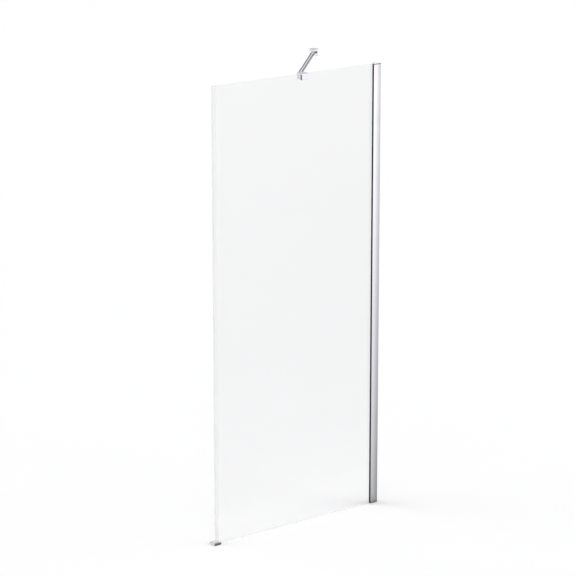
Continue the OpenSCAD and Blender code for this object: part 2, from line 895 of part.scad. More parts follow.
wall_channel();
channel_cover();
front_gasket();
top_cap();
bottom_pad();
glass_panel();
sliding_profile();
glazing_strip();
lock_screws();
edge_seal();
bottom_strip();
foot_block();
foot_liner();
foot_set_screw();
clamp_body();
clamp_insert();
clamp_pad();
clamp_plate();
clamp_set_screws();
clamp_pivot_screw();
arm_tube();
arm_clamp_end();
arm_wall_end();
arm_set_screws();
clamp_washers();
bracket_washers();
bracket_body();
bracket_base();
bracket_pivot_screw();
bracket_set_screw();
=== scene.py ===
# %% [markdown]
# # A glass shower screen with a square arm
# This lesson dresses the frame of a fixed shower screen, one pane of clear glass beside a
# bath or a tray. A bright profile on the wall holds one edge of the pane, a small foot
# holds its free lower corner, and a square arm runs from a clamp on its top edge back to
# a bracket on the wall. The frame gives every size, so each piece is made where it is.

# %% Load the frame
import json
import math

import bpy
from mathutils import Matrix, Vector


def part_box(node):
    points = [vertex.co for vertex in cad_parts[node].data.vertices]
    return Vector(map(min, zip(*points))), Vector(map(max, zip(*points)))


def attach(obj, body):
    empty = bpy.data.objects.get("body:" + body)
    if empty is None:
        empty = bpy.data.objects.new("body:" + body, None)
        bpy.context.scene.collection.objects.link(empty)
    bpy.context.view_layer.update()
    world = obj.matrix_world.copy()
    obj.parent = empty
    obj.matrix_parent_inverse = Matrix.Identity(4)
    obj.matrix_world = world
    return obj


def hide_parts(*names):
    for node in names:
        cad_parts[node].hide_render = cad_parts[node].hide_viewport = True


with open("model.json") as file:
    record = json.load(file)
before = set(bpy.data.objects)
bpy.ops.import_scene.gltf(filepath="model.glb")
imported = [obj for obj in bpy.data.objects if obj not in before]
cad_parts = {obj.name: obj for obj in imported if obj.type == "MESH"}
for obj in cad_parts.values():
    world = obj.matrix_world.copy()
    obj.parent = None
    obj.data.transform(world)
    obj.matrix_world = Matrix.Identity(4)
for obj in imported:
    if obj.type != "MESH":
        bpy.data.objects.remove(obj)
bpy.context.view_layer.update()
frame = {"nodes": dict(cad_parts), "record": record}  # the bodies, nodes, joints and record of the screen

# %% [markdown]
# ## The camera
# The photograph was taken from the front left, a little above the screen, with a long
# lens from more than eleven metres away. That keeps the upright edges almost parallel.
# The place, the turn and the lens come from fitting a camera to the corners of the screen.

# %% Set the camera
lens_mm, sensor_mm = 167.33, 36
camera_place = (-7.2686, -8.7618, 4.0561)
camera_tilt, camera_turn = 74.947, -37.708  # degrees from straight down, and to the right
camera_reach = 200

camera_data = bpy.data.cameras.new("photo_camera")
camera_data.lens = lens_mm
camera_data.sensor_width = sensor_mm
camera_data.clip_end = camera_reach
camera = bpy.data.objects.new("photo_camera", camera_data)
camera.location = camera_place
camera.rotation_euler = (math.radians(camera_tilt), 0, math.radians(camera_turn))
bpy.context.scene.collection.objects.link(camera)
bpy.context.scene.camera = camera
bpy.context.scene.view_settings.view_transform = "Standard"
print("lens of", lens_mm, "mm at", camera_place)

# %% [markdown]
# ## Nodes in short words
# The sky, the floor and every finish are trees of nodes: a node is put into its tree, its
# sockets get a number, a colour or a link, and its output goes on to the next node. Typed
# out in full that hides the recipe, so a few helpers say each step in one line.


# %% Helpers for node trees
def join(tree, source, target):
    tree.links.new(source, target)


def put(tree, kind, **settings):
    node = tree.nodes.new(kind)
    for name, value in settings.items():
        setattr(node, name, value)
    return node


def fill(tree, sockets, values):
    for socket, value in zip(sockets, values):
        if isinstance(value, tuple):
            socket.default_value = (*value, 1)
        elif isinstance(value, (int, float)):
            socket.default_value = value
        else:
            join(tree, value, socket)


def number(tree, how, first, second=0.0):
    node = put(tree, "ShaderNodeMath", operation=how)
    fill(tree, node.inputs, (first, second))
    return node.outputs[0]


def fade(tree, value, start, end, low=0.0, high=1.0, curve="SMOOTHSTEP"):
    span = put(tree, "ShaderNodeMapRange", interpolation_type=curve)
    fill(tree, span.inputs, (value, start, end, low, high))
    return span.outputs[0]


print("helpers for links, numbers and fades")


# %% Helpers for colours and shaders
def steps(tree, value, stops):
    ramp = put(tree, "ShaderNodeValToRGB")
    band = ramp.color_ramp
    while len(band.elements) < len(stops):
        band.elements.new(0.5)
    for element, (place, shade) in zip(band.elements, stops):
        element.position = place
        element.color = (*shade, 1) if isinstance(shade, tuple) else (shade, shade, shade, 1)
    join(tree, value, ramp.inputs[0])
    return ramp.outputs[0]


def blend_colours(tree, share, first, second, how="MIX"):
    node = put(tree, "ShaderNodeMix", data_type="RGBA", blend_type=how)
    fill(tree, (node.inputs[0], node.inputs[6], node.inputs[7]), (share, first, second))
    return node.outputs[2]


def blend_shaders(tree, share, first, second):
    node = put(tree, "ShaderNodeMixShader")
    fill(tree, node.inputs, (share, first, second))
    return node.outputs[0]


def either(tree, path, first_ray, second_ray):
    return number(tree, "MAXIMUM", path.outputs[first_ray], path.outputs[second_ray])


print("helpers for ramps, blends and rays")

# %% [markdown]
# ## The world
# Polished metal shows what stands around it, so the world decides how it looks. A studio
# with pale walls, a darker ceiling and a floor that falls away into shade gives the soft
# bands that such a profile shows. Each side of the studio is a ramp over the height of
# the view, and the darker corner takes over where the view turns to the back right.

# %% Build the world
world = bpy.data.worlds.new("studio")
bpy.context.scene.world = world
world.use_nodes = True
sky = world.node_tree
view = put(sky, "ShaderNodeSeparateXYZ")
join(sky, put(sky, "ShaderNodeTexCoord").outputs["Generated"], view.inputs[0])
open_side = steps(sky, view.outputs[2], [
    (0.0, 1.0), (0.06, 0.98), (0.11, 0.84), (0.16, 0.70), (0.24, 0.60),
    (0.36, 0.45), (0.50, 0.18), (0.64, 0.08), (0.85, 0.08), (1.0, 0.20),
])
corner = steps(sky, view.outputs[2], [
    (0.0, 0.02), (0.159, 0.03), (0.171, 0.70), (0.20, 0.72), (0.25, 0.80), (0.30, 0.95),
    (0.38, 0.95), (0.50, 0.30), (0.62, 0.07), (0.85, 0.06), (1.0, 0.20),
])
print("two sides of the studio painted")

# %% Turn from the open side to the corner
just_over_one = 1.0001  # keeps the root above nothing when the view goes straight up
rise_squared = number(sky, "POWER", view.outputs[2], 2.0)
level_length = number(sky, "SQRT", number(sky, "SUBTRACT", just_over_one, rise_squared))
in_corner = [
    fade(sky, number(sky, "DIVIDE", view.outputs[axis], level_length), start, end)
    for axis, start, end in ((0, 0.2, 0.45), (1, 0.3, 0.55))
]
room = blend_colours(sky, number(sky, "MULTIPLY", *in_corner), open_side, corner)
print("the corner fades in along", len(in_corner), "directions")

# %% [markdown]
# Only glossy rays see the studio. The camera sees plain white, also through the glass,
# and everything else is lit by an even pale grey, so that the bands never tint a finish.

# %% Share the world out among the rays
plain_white = (1, 1, 1)
even_grey = (0.45, 0.45, 0.453)

rays = put(sky, "ShaderNodeLightPath")
lit = blend_colours(sky, rays.outputs["Is Glossy Ray"], even_grey, room)
seen = either(sky, rays, "Is Camera Ray", "Is Transmission Ray")
background = sky.nodes["Background"]
join(sky, blend_colours(sky, seen, lit, plain_white), background.inputs["Color"])
background.inputs["Strength"].default_value = 1
print("the world has", len(sky.nodes), "nodes")

# %% [markdown]
# ## The lamps
# One large soft lamp stands in front and lights the whole screen. Two lower ones stand at
# the left and the right, so that the foot and the profile throw a faint shadow sideways,
# as in the photograph. Sun lamps are used, because their light is even over the whole
# height of the screen. Metal doesn't show them, because it sees the studio instead.


# %% Place the lamps
lamp_height = 6  # above the screen, for a sun only its direction counts


def soft_lamp(name, tilt, turn, spread, power):
    data = bpy.data.lights.new(name, "SUN")
    data.angle = math.radians(spread)
    data.energy = power
    lamp = bpy.data.objects.new(name, data)
    lamp.location = (0, 0, lamp_height)
    lamp.rotation_euler = (math.radians(tilt), 0, math.radians(turn))
    lamp.visible_glossy = False
    bpy.context.scene.collection.objects.link(lamp)


soft_lamp("key_lamp", tilt=52, turn=-45, spread=80, power=1.0)
soft_lamp("left_lamp", tilt=64, turn=-130, spread=60, power=1.5)
soft_lamp("right_lamp", tilt=64, turn=50, spread=60, power=1.5)

# %% [markdown]
# ## The floor
# The floor is one large plain plane, so wide that its edge never comes into view. It lies
# a hair below the foot, because two faces in the same place would flicker.


# %% Lay the floor
def clear_selection():
    if bpy.context.mode != "OBJECT":
        bpy.ops.object.mode_set(mode="OBJECT")
    bpy.ops.object.select_all(action="DESELECT")


floor_width, floor_height = 120, -0.0005
clear_selection()
bpy.ops.mesh.primitive_plane_add(size=floor_width, location=(0, 0, floor_height))
floor = bpy.context.object
floor.name = "studio_floor"
floor_paint = bpy.data.materials.new("floor_paint")
floor_paint.use_nodes = True
floor.data.materials.append(floor_paint)
print("floor laid at", floor.location.z)

# %% [markdown]
# ## What metal sees of the floor
# Upright polished metal mirrors the floor, dark close by, where the screen itself keeps
# the light away, and paler further out. So the floor has a second paint that only glossy
# rays see, in bands over the distance from the pane. The root of the distance is used,
# because the bands next to the profile are narrow and those further out are wide.

# %% Measure the floor from the pane
profile_half_depth = 0.0145
band_reach = 3.0  # the root of nine metres, where the last band ends
near_room = 0.02

tree = floor_paint.node_tree
tree.nodes.clear()
spot = put(tree, "ShaderNodeSeparateXYZ")
join(tree, put(tree, "ShaderNodeNewGeometry").outputs["Position"], spot.inputs[0])
from_middle = number(tree, "ABSOLUTE", spot.outputs[1])
from_profile = number(tree, "SUBTRACT", from_middle, profile_half_depth)
away = number(tree, "MAXIMUM", from_profile, 0.0)
depth = number(tree, "DIVIDE", number(tree, "POWER", away, 0.5), band_reach)
sideways = number(tree, "DIVIDE", spot.outputs[0], number(tree, "ADD", away, near_room))
print("bands reach", band_reach ** 2, "metres")

# %% Paint the bands before and behind the pane
front_bands = steps(tree, depth, [
    (0.0, 0.04), (0.036, 0.10), (0.075, 0.29), (0.12, 0.39), (0.16, 0.44),
    (0.245, 0.52), (0.354, 0.62), (0.534, 0.75), (0.707, 0.88), (0.96, 1.0),
])
front_turn = fade(tree, sideways, 0.45, 1.35, low=1.27, high=0.52, curve="LINEAR")
front = blend_colours(tree, 1.0, front_bands, front_turn, how="MULTIPLY")

# The ramp runs from 0, far to the left, over 0.5, at the wall, to 1, far to the right.
rear_place = number(tree, "ADD", number(tree, "MULTIPLY", sideways, 0.25), 0.5)
rear_left = steps(tree, rear_place, [(0.30, 0.92), (0.45, 0.75), (0.56, 0.40)])
rear_right = steps(tree, depth, [
    (0.0, 0.14), (0.50, 0.16), (0.70, 0.60), (0.93, 0.60), (0.99, 0.05),
])
rear = blend_colours(tree, fade(tree, sideways, 0.0, 0.3), rear_left, rear_right)
print("bands painted before and behind the pane")

# %% Join the bands round the pane
free_side_grey = (0.85, 0.85, 0.86)
pane_front, pane_back = -0.005, 0.03
free_edge_out, free_edge_in = -0.912, -0.900
behind_pane = fade(tree, spot.outputs[1], pane_front, pane_back)
past_free_edge = fade(tree, spot.outputs[0], free_edge_out, free_edge_in, low=1.0, high=0.0)
mirrored = blend_colours(tree, behind_pane, front, rear)
mirrored = blend_colours(tree, past_free_edge, mirrored, free_side_grey)
in_metal = put(tree, "ShaderNodeEmission")
join(tree, mirrored, in_metal.inputs["Color"])
print("floor paint has", len(tree.nodes), "nodes so far")

# %% [markdown]
# ## What the eye sees of the floor
# The eye sees a plain pale floor. It glows only by a trace, which lets it meet the white
# of the world, and its matt part still takes the shadows. Light that bounces from it on
# to the screen comes from a slightly darker matt paint, so that nothing is overlit.

# %% Share the floor out among the rays
eye_grey = (0.93, 0.93, 0.935, 1)
bounce_grey = (0.80, 0.80, 0.80, 1)
trace_of_glow = 0.01

for_bounce = put(tree, "ShaderNodeBsdfDiffuse")
for_bounce.inputs["Color"].default_value = bounce_grey
matt = put(tree, "ShaderNodeBsdfDiffuse")
matt.inputs["Color"].default_value = eye_grey
glow = put(tree, "ShaderNodeEmission")
glow.inputs["Strength"].default_value = trace_of_glow
pale = put(tree, "ShaderNodeAddShader")
fill(tree, pale.inputs, (matt.outputs[0], glow.outputs[0]))
path = put(tree, "ShaderNodeLightPath")
seen = either(tree, path, "Is Camera Ray", "Is Transmission Ray")
for_eye = blend_shaders(tree, seen, for_bounce.outputs[0], pale.outputs[0])
glossy, through = path.outputs["Is Glossy Ray"], path.outputs["Is Transmission Ray"]
by_mirror = number(tree, "SUBTRACT", glossy, through)
shown = blend_shaders(tree, by_mirror, for_eye, in_metal.outputs[0])
join(tree, shown, put(tree, "ShaderNodeOutputMaterial").inputs[0])
print("floor paint has", len(tree.nodes), "nodes")

# %% [markdown]
# ## Effects that several finishes share
# Extruded metal keeps fine lines along its length. Polished plate keeps hair-fine
# scratches. Everything in a bathroom picks up a trace of dried water. Each effect is a
# group with named inputs that gives a mask, and each finish uses it with its own values.


# %% Draw fine lines along the height
def new_effect(name, **inputs):
    effect = bpy.data.node_groups.new(name, "ShaderNodeTree")
    add_socket = effect.interface.new_socket
    for title, start in inputs.items():
        socket = add_socket(name=title, in_out="INPUT", socket_type="NodeSocketFloat")
        socket.default_value = start
    add_socket(name="Mask", in_out="OUTPUT", socket_type="NodeSocketFloat")
    return effect, put(effect, "NodeGroupInput"), put(effect, "NodeGroupOutput")


def object_point(tree):
    return put(tree, "ShaderNodeTexCoord").outputs["Object"]


drawn, given, result = new_effect("drawn_lines", Fineness=900.0, Stretch=0.01, Contrast=1.0)
fineness = given.outputs["Fineness"]
squeeze = put(drawn, "ShaderNodeCombineXYZ")
along = number(drawn, "MULTIPLY", fineness, given.outputs["Stretch"])
fill(drawn, squeeze.inputs, (fineness, fineness, along))
scaled = put(drawn, "ShaderNodeVectorMath", operation="MULTIPLY")
fill(drawn, scaled.inputs, (object_point(drawn), squeeze.outputs[0]))
lines = put(drawn, "ShaderNodeTexNoise")
lines.inputs["Scale"].default_value = 1
lines.inputs["Detail"].default_value = 4
join(drawn, scaled.outputs[0], lines.inputs["Vector"])
around_zero = number(drawn, "SUBTRACT", lines.outputs["Fac"], 0.5)
stronger = number(drawn, "MULTIPLY", around_zero, given.outputs["Contrast"])
join(drawn, number(drawn, "ADD", stronger, 0.5), result.inputs["Mask"])
print("effect", drawn.name, "has", len(drawn.nodes), "nodes")

# %% Scatter hair-fine scratches
scratch_width = 0.012
wave_count, wave_depth = 14, 0.08  # the cells are bent, so that no scratch is straight

hairs, given, result = new_effect("hair_scratches", Size=60.0, Share=0.5)
place = object_point(hairs)
bent = put(hairs, "ShaderNodeTexNoise")
bent.inputs["Scale"].default_value = wave_count
join(hairs, place, bent.inputs["Vector"])
moved = put(hairs, "ShaderNodeVectorMath", operation="MULTIPLY_ADD")
join(hairs, bent.outputs["Color"], moved.inputs[0])
moved.inputs[1].default_value = (wave_depth, wave_depth, wave_depth)
join(hairs, place, moved.inputs[2])
cells = put(hairs, "ShaderNodeTexVoronoi", feature="DISTANCE_TO_EDGE")
join(hairs, moved.outputs[0], cells.inputs["Vector"])
join(hairs, given.outputs["Size"], cells.inputs["Scale"])
thin = number(hairs, "LESS_THAN", cells.outputs["Distance"], scratch_width)
share = number(hairs, "MULTIPLY", thin, given.outputs["Share"])
join(hairs, share, result.inputs["Mask"])
print("effect", hairs.name, "has", len(hairs.nodes), "nodes")

# %% Spread dried water
clean_below, marked_above = 0.42, 0.75

marks, given, result = new_effect("water_marks", Size=18.0, Amount=0.5)
broad = put(marks, "ShaderNodeTexNoise")
broad.inputs["Detail"].default_value = 6
broad.inputs["Roughness"].default_value = 0.62
join(marks, object_point(marks), broad.inputs["Vector"])
join(marks, given.outputs["Size"], broad.inputs["Scale"])
patch = fade(marks, broad.outputs["Fac"], clean_below, marked_above)
amount = number(marks, "MULTIPLY", patch, given.outputs["Amount"])
join(marks, amount, result.inputs["Mask"])
print("effects:", [group.name for group in bpy.data.node_groups])

# %% [markdown]
# ## The finishes
# Every finish starts from one shader. Its fixed numbers are typed straight into the
# shader, and only what changes over the surface comes from the effects: colour, gloss
# and a very shallow relief. Small metal and plastic pieces need just one mask of marks
# for both colour and gloss, so one helper makes all of those.


# %% Helpers for the finishes
def new_finish(name, **settings):
    finish = bpy.data.materials.new(name)
    finish.use_nodes = True
    shader = finish.node_tree.nodes["Principled BSDF"]
    for title, value in settings.items():
        shader.inputs[title.replace("_", " ")].default_value = value
    return finish, finish.node_tree, shader


def effect_mask(tree, effect, **values):
    node = put(tree, "ShaderNodeGroup", node_tree=effect)
    for title, value in values.items():
        node.inputs[title].default_value = value
    return node.outputs["Mask"]


def colour_by(tree, shader, mask, first, second):
    join(tree, blend_colours(tree, mask, first, second), shader.inputs["Base Color"])


def gloss_by(tree, shader, mask, smooth, rough):
    roughness = fade(tree, mask, 0.0, 1.0, low=smooth, high=rough, curve="LINEAR")
    join(tree, roughness, shader.inputs["Roughness"])


def relief_by(tree, shader, mask, strength, depth):
    bump = put(tree, "ShaderNodeBump")
    bump.inputs["Strength"].default_value = strength
    bump.inputs["Distance"].default_value = depth
    join(tree, mask, bump.inputs["Height"])
    join(tree, bump.outputs[0], shader.inputs["Normal"])


def marked_finish(name, size, colours, gloss, **settings):
    finish, tree, shader = new_finish(name, **settings)
    spots = effect_mask(tree, marks, Size=size, Amount=1.0)
    colour_by(tree, shader, spots, *colours)
    gloss_by(tree, shader, spots, *gloss)
    return finish


print("helpers for colour, gloss and relief")

# %% [markdown]
# ## Bright metal
# The profile is polished aluminium, its colour a touch blue from half its height upwards and
# paler towards the top. The clamp, the arm, the bracket and the foot are chromed, which is
# smoother and shows scratches rather than lines. The hidden inner profile is only satin.


# %% Mix the bright metals
def height_on_screen(tree):
    split = put(tree, "ShaderNodeSeparateXYZ")
    join(tree, object_point(tree), split.inputs[0])
    return split.outputs[2]


share_per_metre = 0.5  # the screen is two metres high

bright_profile, tree, shader = new_finish("bright_profile", Metallic=1.0)
long_lines = effect_mask(tree, drawn, Fineness=1400.0, Stretch=0.004, Contrast=1.4)
spots = effect_mask(tree, marks, Size=9.0, Amount=0.6)
cast = steps(tree, number(tree, "MULTIPLY", height_on_screen(tree), share_per_metre), [
    (0.0, (0.93, 0.94, 0.955)), (0.2, (0.935, 0.935, 0.965)),
    (0.4, (0.935, 0.92, 0.995)), (1.0, (0.985, 0.975, 0.995)),
])
colour_by(tree, shader, spots, cast, (0.90, 0.89, 0.945))
gloss_by(tree, shader, long_lines, 0.05, 0.12)
relief_by(tree, shader, long_lines, 0.06, 0.0001)

chromed_metal, tree, shader = new_finish("chromed_metal", Metallic=1.0)
scratches = effect_mask(tree, hairs, Size=90.0, Share=0.7)
spots = effect_mask(tree, marks, Size=40.0, Amount=0.7)
colour_by(tree, shader, spots, (0.90, 0.885, 0.935), (0.84, 0.83, 0.875))
gloss_by(tree, shader, number(tree, "MAXIMUM", scratches, spots), 0.035, 0.13)
relief_by(tree, shader, scratches, 0.05, 0.0001)

satin_profile, tree, shader = new_finish("satin_profile", Metallic=1.0)
long_lines = effect_mask(tree, drawn, Fineness=1800.0, Stretch=0.004, Contrast=1.8)
colour_by(tree, shader, long_lines, (0.66, 0.665, 0.68), (0.76, 0.765, 0.78))
gloss_by(tree, shader, long_lines, 0.26, 0.42)
relief_by(tree, shader, long_lines, 0.2, 0.0002)
print("mixed", bright_profile.name, chromed_metal.name, satin_profile.name)

# %% [markdown]
# ## Screws and end pieces
# The screws are plain steel, and the set screws are blackened. The end pieces of the arm are
# painted dark grey, painted shade for the narrow slots where little light gets in.

# %% Mix the darker metals
screw_steel, tree, shader = new_finish("screw_steel", Metallic=1.0)
turned = effect_mask(tree, hairs, Size=300.0, Share=1.0)
colour_by(tree, shader, turned, (0.60, 0.60, 0.61), (0.45, 0.45, 0.46))
gloss_by(tree, shader, effect_mask(tree, marks, Size=120.0, Amount=1.0), 0.2, 0.38)

dark_steel = marked_finish(
    "dark_steel", 200.0, ((0.10, 0.10, 0.11), (0.18, 0.18, 0.19)), (0.32, 0.5), Metallic=1.0,
)
# the end pieces are painted dark grey: painted shade for the narrow slots they sit in
end_metal_painted_shade = marked_finish(
    "end_metal_painted_shade", 60.0, ((0.24, 0.24, 0.255), (0.16, 0.16, 0.175)), (0.14, 0.26), Metallic=1.0,
)
print("mixed", screw_steel.name, dark_steel.name, end_metal_painted_shade.name)

# %% [markdown]
# ## Rubber and plastics
# Rubber is almost black, dull and dusty. The liner of the foot is dark plastic, and the
# washers and the pad under the profile are pale plastic, toned down to grey as painted shade
# for the dark line under the profile. The insert of the clamp is milky: light enters it and
# comes out again a few millimetres on, so it gets subsurface light.

# %% Mix the rubber and the plastics
dark_rubber, tree, shader = new_finish("dark_rubber", Specular_IOR_Level=0.2)
grain = effect_mask(tree, marks, Size=700.0, Amount=1.0)
dust = effect_mask(tree, marks, Size=25.0, Amount=0.5)
colour_by(tree, shader, dust, (0.016, 0.016, 0.018), (0.035, 0.035, 0.037))
gloss_by(tree, shader, grain, 0.48, 0.62)
relief_by(tree, shader, grain, 0.3, 0.0001)

dark_plastic = marked_finish(
    "dark_plastic", 900.0, ((0.07, 0.07, 0.072), (0.10, 0.10, 0.102)), (0.38, 0.5),
)
# pale plastic toned down to grey: painted shade for the dark line under the profile
pale_plastic_and_painted_shade = marked_finish(
    "pale_plastic_and_painted_shade", 600.0, ((0.74, 0.745, 0.75), (0.68, 0.685, 0.69)), (0.35, 0.5),
)
milky_plastic = marked_finish(
    "milky_plastic", 400.0, ((0.97, 0.97, 0.975), (0.93, 0.932, 0.94)), (0.3, 0.45),
    Subsurface_Weight=1.0, Subsurface_Radius=(1, 1, 1), Subsurface_Scale=0.006,
)
print("mixed", dark_rubber.name, dark_plastic.name, pale_plastic_and_painted_shade.name, milky_plastic.name)

# %% [markdown]
# ## The cap and the seal
# The cap is moulded pale plastic. Below one height its rim is painted near black, painted
# shade that shows as a dark line at the head of the profile. The seal on the free edge is clear, but it
# is full of fine flow lines from the die, so it looks white and only slightly see-through.

# %% Mix the cap and the seal
pale_top_depth = 0.0006  # the pale top is this deep, below it the rim is painted near black

cap_plastic_painted_shade, tree, shader = new_finish("cap_plastic_painted_shade")
grain = effect_mask(tree, marks, Size=500.0, Amount=1.0)
# below this height the cap is painted near black: painted shade that shows as a dark line under its head
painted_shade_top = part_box("top_cap")[1][2] - pale_top_depth
above_painted_shade = number(tree, "GREATER_THAN", height_on_screen(tree), painted_shade_top)
pale = blend_colours(tree, grain, (0.95, 0.95, 0.955), (0.90, 0.902, 0.91))
colour_by(tree, shader, above_painted_shade, (0.025, 0.025, 0.027), pale)
gloss_by(tree, shader, grain, 0.32, 0.46)

clear_seal, tree, shader = new_finish(
    "clear_seal", Transmission_Weight=0.18, IOR=1.38, Specular_IOR_Level=0.3,
)
flow = effect_mask(tree, drawn, Fineness=500.0, Stretch=0.006, Contrast=1.5)
colour_by(tree, shader, flow, (0.96, 0.962, 0.962), (0.92, 0.924, 0.924))
gloss_by(tree, shader, flow, 0.28, 0.42)
relief_by(tree, shader, flow, 0.15, 0.0002)
print("mixed", cap_plastic_painted_shade.name, "and", clear_seal.name)

# %% [markdown]
# ## The glass
# Clear toughened glass shows itself by what it reflects, by a trace of grey in what shows
# through, and by its green edge. The shader keeps full transmission, and the trace of
# grey gets less towards the floor. Just above the floor the glass is lightest, painted light
# that lifts the profile's shadow seen through the pane. A pane on a white ground would throw
# a heavy shadow, so the light that falls on other pieces passes straight through it. The
# ground edges and the soft clear strip under the pane are treated the same way.


# %% Mix the glass
def let_light_through(finish):
    tree = finish.node_tree
    clear = put(tree, "ShaderNodeBsdfTransparent")
    path = put(tree, "ShaderNodeLightPath")
    unseen = either(tree, path, "Is Shadow Ray", "Is Diffuse Ray")
    solid = tree.nodes["Principled BSDF"].outputs[0]
    both_ways = blend_shaders(tree, unseen, solid, clear.outputs[0])
    join(tree, both_ways, tree.nodes["Material Output"].inputs["Surface"])


clear_glass, tree, shader = new_finish("clear_glass", Transmission_Weight=1.0, IOR=1.45)
# grey by height, less towards the floor; the lowest stops are painted light that lifts the profile's
# shadow seen through the pane
glass_grey_and_painted_light = steps(tree, number(tree, "MULTIPLY", height_on_screen(tree), share_per_metre), [
    (0.0, (0.990, 0.992, 0.992)), (0.055, (0.985, 0.987, 0.987)),
    (0.10, (0.955, 0.957, 0.957)), (0.2, (0.925, 0.928, 0.928)),
    (0.4, (0.905, 0.908, 0.908)), (0.7, (0.905, 0.908, 0.908)),
    (0.9, (0.914, 0.916, 0.916)), (1.0, (0.918, 0.920, 0.920)),
])
haze = effect_mask(tree, marks, Size=2.5, Amount=0.2)
colour_by(tree, shader, haze, glass_grey_and_painted_light, (0.90, 0.905, 0.905))
gloss_by(tree, shader, haze, 0.0, 0.004)
let_light_through(clear_glass)
print("mixed", clear_glass.name)

# %% Mix the strip and the ground edge
soft_strip, tree, shader = new_finish("soft_strip", Alpha=0.10, Specular_IOR_Level=0.1)
flow = effect_mask(tree, drawn, Fineness=500.0, Stretch=1.0, Contrast=1.2)
colour_by(tree, shader, flow, (0.99, 0.99, 0.99), (0.96, 0.962, 0.962))
gloss_by(tree, shader, flow, 0.30, 0.45)
let_light_through(soft_strip)

ground_edge = marked_finish(
    "ground_edge", 60.0, ((0.93, 0.965, 0.95), (0.88, 0.93, 0.91)), (0.35, 0.55),
    Transmission_Weight=0.25, IOR=1.45,
)
let_light_through(ground_edge)
print("mixed", soft_strip.name, "and", ground_edge.name)

# %% [markdown]
# ## Dress the nodes of the frame
# Most nodes already have the right shape and only need their finish. Each finish goes
# into the node's own material slots. Pieces that are made later from a copy of a node
# take its finish along with them, so this comes first.

# %% Hand out the finishes
nodes_of = (
    (bright_profile, ("wall_channel", "channel_cover")),
    (chromed_metal, ("foot_block", "clamp_body", "arm_tube", "bracket_body")),
    (satin_profile, ("sliding_profile",)),
    (end_metal_painted_shade, ("arm_clamp_end", "arm_wall_end")),
    (screw_steel, ("lock_screws", "clamp_plate", "clamp_pivot_screw")),
    (screw_steel, ("bracket_base", "bracket_pivot_screw")),
    (dark_steel, ("foot_set_screw", "clamp_set_screws", "arm_set_screws")),
    (dark_steel, ("bracket_set_screw",)),
    (dark_rubber, ("front_gasket", "glazing_strip", "clamp_pad")),
    (dark_plastic, ("foot_liner",)),
    (pale_plastic_and_painted_shade, ("bottom_pad", "clamp_washers", "bracket_washers")),
    (milky_plastic, ("clamp_insert",)),
    (cap_plastic_painted_shade, ("top_cap",)),
    (clear_seal, ("edge_seal",)),
    (clear_glass, ("glass_panel",)),
    (soft_strip, ("bottom_strip",)),
)
for finish, nodes in nodes_of:
    for node in nodes:
        mesh = frame["nodes"][node].data
        mesh.materials.clear()
        mesh.materials.append(finish)
print(sum(len(nodes) for _, nodes in nodes_of), "nodes dressed")

# %% [markdown]
# ## Metal with softened edges
# No cast or extruded edge is knife sharp. Each of the main metal pieces is copied from
# its node, its loose triangles are merged, flat faces are joined, and a small bevel runs
# along every sharp edge. The bevel catches a line of light, which is what tells metal
# from a drawing of it. A copy then stands in for its node, and rides and is finished as
# the node is.


# %% Helpers that copy a node
weld_gap = 0.000005
flat_within = math.radians(0.1)


def select_only(piece):
    clear_selection()
    piece.select_set(True)
    bpy.context.view_layer.objects.active = piece


def merged_copy(node, name):
    source = frame["nodes"][node]
    piece = bpy.data.objects.new(name, source.data.copy())
    bpy.context.scene.collection.objects.link(piece)
    select_only(piece)
    bpy.ops.object.mode_set(mode="EDIT")
    bpy.ops.mesh.select_all(action="SELECT")
    bpy.ops.mesh.remove_doubles(threshold=weld_gap)
    bpy.ops.mesh.dissolve_limited(angle_limit=flat_within)
    bpy.ops.object.mode_set(mode="OBJECT")
    return piece


def body_of(node):
    for body, members in frame["record"]["behaviour"]["bodies"].items():
        if node in members:
            return body


def stand_in(piece, node):
    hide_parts(node)
    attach(piece, body_of(node))
    triangles = sum(len(face.vertices) - 2 for face in piece.data.polygons)
    print(piece.name, "takes the place of", node, "with", triangles, "triangles")


print("a copy is welded at", weld_gap * 1000, "mm")

# %% Soften the metal pieces
sharp_above = math.radians(25)
smooth_below = math.radians(35)


def soften(piece, width, segments=2):
    select_only(piece)
    bevel = piece.modifiers.new("soft_edges", "BEVEL")
    bevel.width = width
    bevel.segments = segments
    bevel.limit_method = "ANGLE"
    bevel.angle_limit = sharp_above
    bpy.ops.object.modifier_apply(modifier=bevel.name)
    bpy.ops.object.shade_smooth_by_angle(angle=smooth_below)
    even = piece.modifiers.new("flat_faces", "WEIGHTED_NORMAL")
    even.keep_sharp = True
    bpy.ops.object.modifier_apply(modifier=even.name)


def soften_all(rows):
    for node, name, width in rows:
        piece = merged_copy(node, name)
        soften(piece, width)
        stand_in(piece, node)


soften_all((
    ("wall_channel", "wall_profile_shell", 0.0003),
    ("channel_cover", "profile_cover_shell", 0.0002),
    ("clamp_body", "clamp_saddle", 0.0003),
    ("bracket_body", "bracket_block", 0.0003),
    ("foot_block", "foot_shoe", 0.0003),
    ("arm_clamp_end", "arm_front_tongue", 0.0003),
    ("arm_wall_end", "arm_back_tongue", 0.0003),
))

# %% [markdown]
# ## The square arm
# The arm is a drawn square tube, and drawn tube has round corners on the outside. Only
# its four long outer edges are rounded, with a much larger radius than the other metal.
# The shading runs on smoothly into the sides, because a drawn side is never quite flat.
# The edges are found by their length and their distance from the middle of the tube.


